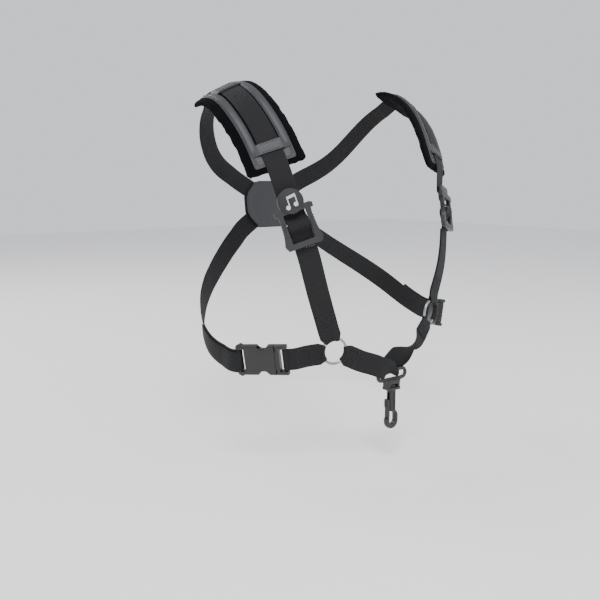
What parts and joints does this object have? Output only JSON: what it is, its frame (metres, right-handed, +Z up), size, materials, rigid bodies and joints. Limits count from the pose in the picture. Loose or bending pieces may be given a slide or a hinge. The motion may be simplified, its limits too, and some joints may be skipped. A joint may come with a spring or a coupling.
{
  "type": "saxophone harness",
  "caption": "Two-shoulder saxophone harness with padded shoulder straps, ladder adjusters, side-release buckles, rings, a back yoke and a swivel snap hook.",
  "frame": {"origin": "middle of the wearer's neck base, between the two shoulder pads", "axes": "+Z up along the wearer, -Y the way the wearer faces, +X towards the wearer's left"},
  "size_m": [0.355, 0.2617, 0.4168],
  "materials": {
    "webbing": "woven nylon",
    "pad_plush": "short plush",
    "pad_cover": "grained",
    "adjuster": "satin",
    "badge": "satin",
    "motif": "polished",
    "ring": "plated",
    "buckle": "satin",
    "yoke": "grained",
    "hook": "moulded",
    "spring": "drawn"
  },
  "bodies": {
    "harness": {"right_pad_inner_rail": "pad_cover", "right_pad_outer_rail": "pad_cover", "right_pad_front_bridge": "pad_cover", "right_pad_back_bridge": "pad_cover", "right_shoulder_pad": "pad_plush", "right_pad_cover": "pad_cover", "right_shoulder_strap": "webbing", "right_upper_strap": "webbing", "right_chest_strap": "webbing", "right_chest_strap_end": "webbing", "right_ring_strap": "webbing", "right_buckle_male": "buckle", "right_side_strap_end": "webbing", "right_side_strap": "webbing", "right_strap_tail": "webbing", "left_pad_inner_rail": "pad_cover", "left_pad_outer_rail": "pad_cover", "left_pad_front_bridge": "pad_cover", "left_pad_back_bridge": "pad_cover", "left_shoulder_pad": "pad_plush", "left_pad_cover": "pad_cover", "left_shoulder_strap": "webbing", "left_upper_strap": "webbing", "left_chest_strap": "webbing", "left_chest_strap_end": "webbing", "left_ring_strap": "webbing", "left_buckle_male": "buckle", "left_side_strap_end": "webbing", "left_side_strap": "webbing", "left_strap_tail": "webbing", "front_strap": "webbing", "yoke_inner_ply": "yoke", "yoke_outer_ply": "yoke"},
    "right_adjuster_body": {"right_adjuster": "adjuster", "right_adjuster_webbing": "webbing", "badge": "badge", "badge_motif": "motif"},
    "right_ring_body": {"right_ring": "ring"},
    "right_socket_body": {"right_buckle_socket": "buckle", "right_socket_loop": "webbing"},
    "right_buckle_upper_prong_body": {"right_buckle_upper_prong": "buckle"},
    "right_buckle_lower_prong_body": {"right_buckle_lower_prong": "buckle"},
    "left_adjuster_body": {"left_adjuster": "adjuster", "left_adjuster_webbing": "webbing"},
    "left_ring_body": {"left_ring": "ring"},
    "left_socket_body": {"left_buckle_socket": "buckle", "left_socket_loop": "webbing"},
    "left_buckle_upper_prong_body": {"left_buckle_upper_prong": "buckle"},
    "left_buckle_lower_prong_body": {"left_buckle_lower_prong": "buckle"},
    "bail": {"hook_bail": "hook"},
    "hook": {"hook_body": "hook", "hook_spring": "spring"},
    "thumb_slide": {"hook_thumb_slide": "hook"}
  },
  "joints": [
    {"name": "right_adjuster_slide", "type": "slide", "parent": "harness", "child": "right_adjuster_body", "axis": [-0.2107, 0.2811, 0.9363], "range_m": [-0.018, 0.008], "deforming": ["right_upper_strap", "right_chest_strap_end"]},
    {"name": "right_ring_turn", "type": "hinge", "parent": "harness", "child": "right_ring_body", "pos_m": [-0.07905, -0.08933, -0.31318], "axis": [-0.3008, -0.9524, -0.0501], "continuous": true},
    {"name": "right_socket_release", "type": "slide", "parent": "harness", "child": "right_socket_body", "axis": [-0.5533, 0.8301, -0.0692], "range_m": [0, 0.028], "deforming": ["right_side_strap_end", "right_strap_tail"]},
    {"name": "right_buckle_upper_prong_flex", "type": "hinge", "parent": "harness", "child": "right_buckle_upper_prong_body", "pos_m": [-0.13724, -0.05275, -0.31161], "axis": [-0.8162, -0.5569, -0.1541], "range_deg": [0, 6], "stiffness_Nm_per_rad": 0.2, "springref_deg": -2.29},
    {"name": "right_buckle_lower_prong_flex", "type": "hinge", "parent": "harness", "child": "right_buckle_lower_prong_body", "pos_m": [-0.13381, -0.05216, -0.33191], "axis": [0.8162, 0.5569, 0.1541], "range_deg": [0, 6], "stiffness_Nm_per_rad": 0.2, "springref_deg": -2.29},
    {"name": "left_adjuster_slide", "type": "slide", "parent": "harness", "child": "left_adjuster_body", "axis": [0.127, 0.2634, 0.9563], "range_m": [-0.018, 0.008], "deforming": ["left_upper_strap", "left_chest_strap_end"]},
    {"name": "left_ring_turn", "type": "hinge", "parent": "harness", "child": "left_ring_body", "pos_m": [0.07998, -0.09035, -0.28421], "axis": [0.2795, -0.9583, -0.0599], "continuous": true},
    {"name": "left_socket_release", "type": "slide", "parent": "harness", "child": "left_socket_body", "axis": [0.5704, 0.8106, -0.1329], "range_m": [0, 0.028], "deforming": ["left_side_strap_end", "left_strap_tail"]},
    {"name": "left_buckle_upper_prong_flex", "type": "hinge", "parent": "harness", "child": "left_buckle_upper_prong_body", "pos_m": [0.13848, -0.05384, -0.28539], "axis": [-0.7974, 0.5853, 0.1473], "range_deg": [0, 6], "stiffness_Nm_per_rad": 0.2, "springref_deg": -2.29},
    {"name": "left_buckle_lower_prong_flex", "type": "hinge", "parent": "harness", "child": "left_buckle_lower_prong_body", "pos_m": [0.13442, -0.0543, -0.30558], "axis": [0.7974, -0.5853, -0.1473], "range_deg": [0, 6], "stiffness_Nm_per_rad": 0.2, "springref_deg": -2.29},
    {"name": "bail_swing", "type": "hinge", "parent": "harness", "child": "bail", "pos_m": [0.0005, -0.1035, -0.345], "axis": [1, 0, 0], "range_deg": [-10, 25]},
    {"name": "hook_swivel", "type": "hinge", "parent": "bail", "child": "hook", "pos_m": [0.0005, -0.1035, -0.37], "axis": [0, 0, 1], "continuous": true},
    {"name": "thumb_slide_pull", "type": "slide", "parent": "hook", "child": "thumb_slide", "axis": [0, 0, 1], "range_m": [0, 0.0085], "stiffness_N_per_m": 150, "springref_m": -0.004, "deforming": ["hook_spring"]}
  ],
  "couplings": [
    {"joint": "right_buckle_lower_prong_flex", "follows": "right_buckle_upper_prong_flex", "ratio": 1},
    {"joint": "left_buckle_lower_prong_flex", "follows": "left_buckle_upper_prong_flex", "ratio": 1}
  ]
}
